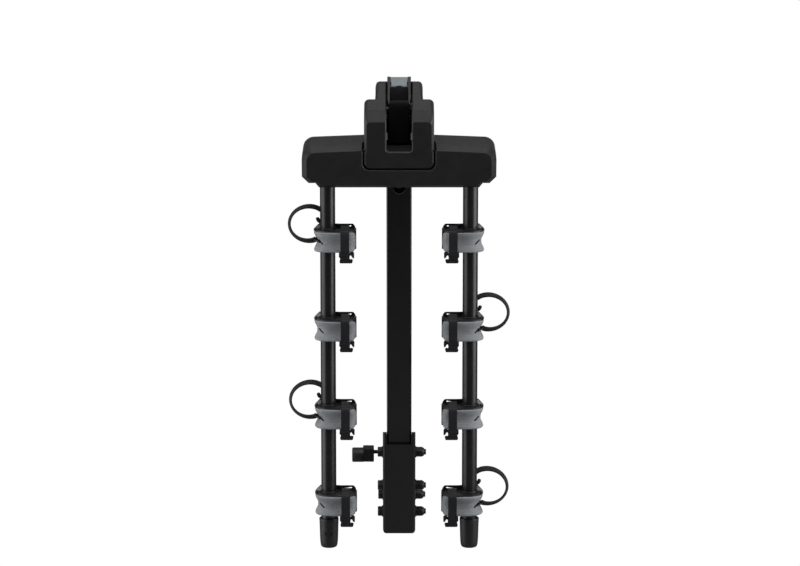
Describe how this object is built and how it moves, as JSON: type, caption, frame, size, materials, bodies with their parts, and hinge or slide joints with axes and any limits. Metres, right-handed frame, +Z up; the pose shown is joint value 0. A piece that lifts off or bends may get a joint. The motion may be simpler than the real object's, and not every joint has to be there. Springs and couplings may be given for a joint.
{
  "type": "hitch mounted bike rack",
  "caption": "Hanging hitch bike rack with a leaning tilting mast, two folding arms hanging stowed, padded cradles with ladder straps and a top release lever.",
  "frame": {"origin": "on the hitch tube's bottom face, straight under the centre of the hitch pin hole", "axes": "+Z up, +Y towards the vehicle, +X to the right seen from behind the vehicle"},
  "size_m": [0.4366, 0.7132, 0.9587],
  "materials": {
    "black_coat": "satin black powder coat on steel",
    "black_plastic": "fine textured black moulding",
    "grey_rubber": "soft blue grey rubber with fine ribs",
    "black_rubber": "black rubber with cross ribs",
    "black_fastener": "black coated fasteners",
    "bare_steel": "zinc plated steel",
    "grip_grey": "matte blue grey soft grip"
  },
  "bodies": {
    "hitch": {"hitch_tube": "black_coat", "tilt_lock_plate": "black_coat"},
    "mast": {"tilt_bracket": "black_coat", "mast_tube": "black_coat", "mast_bolt_upper": "black_fastener", "mast_bolt_middle": "black_fastener", "mast_bolt_lower": "black_fastener", "mast_nut_upper": "black_fastener", "mast_nut_middle": "black_fastener", "mast_nut_lower": "black_fastener", "tilt_pivot_bolt": "black_fastener", "tilt_pivot_nut": "black_fastener", "pull_pin_barrel": "black_fastener", "latch_sector": "bare_steel", "arm_pivot_bolt": "black_fastener"},
    "pull_pin": {"pull_pin": "bare_steel", "pull_pin_knob": "black_plastic"},
    "head": {"hinge_frame": "black_coat", "cross_tube": "black_coat", "arm_tube_left": "black_coat", "arm_tube_right": "black_coat", "end_cap_left": "black_plastic", "end_cap_right": "black_plastic", "crossbar_cover": "black_plastic", "centre_cover": "black_plastic", "rear_cover": "black_plastic", "lever_pin": "bare_steel", "lever_spring": "bare_steel", "cradle_base_left_1": "black_plastic", "cradle_pad_left_1": "grey_rubber", "cradle_strap_left_1": "black_rubber", "cradle_base_left_2": "black_plastic", "cradle_pad_left_2": "grey_rubber", "cradle_strap_left_2": "black_rubber", "cradle_base_left_3": "black_plastic", "cradle_pad_left_3": "grey_rubber", "cradle_strap_left_3": "black_rubber", "cradle_base_left_4": "black_plastic", "cradle_pad_left_4": "grey_rubber", "cradle_strap_left_4": "black_rubber", "cradle_base_right_1": "black_plastic", "cradle_pad_right_1": "grey_rubber", "cradle_strap_right_1": "black_rubber", "cradle_base_right_2": "black_plastic", "cradle_pad_right_2": "grey_rubber", "cradle_strap_right_2": "black_rubber", "cradle_base_right_3": "black_plastic", "cradle_pad_right_3": "grey_rubber", "cradle_strap_right_3": "black_rubber", "cradle_base_right_4": "black_plastic", "cradle_pad_right_4": "grey_rubber", "cradle_strap_right_4": "black_rubber", "anti_sway_strap_left_1": "black_rubber", "anti_sway_strap_left_3": "black_rubber", "anti_sway_strap_right_2": "black_rubber", "anti_sway_strap_right_4": "black_rubber"},
    "lever": {"release_lever": "black_plastic", "lever_grip": "grip_grey"},
    "latch": {"latch_pin": "bare_steel", "latch_link": "bare_steel"}
  },
  "joints": [
    {"name": "mast_tilt", "type": "hinge", "parent": "hitch", "child": "mast", "pos_m": [0, -0.26, 0.0254], "axis": [1, 0, 0], "range_deg": [0, 50]},
    {"name": "arm_fold", "type": "hinge", "parent": "mast", "child": "head", "pos_m": [0, -0.487, 0.862], "axis": [-1, 0, 0], "range_deg": [0, 95]},
    {"name": "release_lever", "type": "hinge", "parent": "head", "child": "lever", "pos_m": [0, -0.59812, 0.87668], "axis": [1, 0, 0], "range_deg": [0, 25], "stiffness_Nm_per_rad": 0.3, "springref_deg": -17.19},
    {"name": "latch_slide", "type": "slide", "parent": "head", "child": "latch", "axis": [0, -0.9903, -0.1392], "range_m": [0, 0.0033]},
    {"name": "pull_pin_slide", "type": "slide", "parent": "mast", "child": "pull_pin", "axis": [-1, 0, 0], "range_m": [0, 0.009], "stiffness_N_per_m": 1000, "springref_m": -0.008}
  ],
  "couplings": [
    {"joint": "latch_slide", "follows": "release_lever", "m_per_rad": 0.0073}
  ]
}
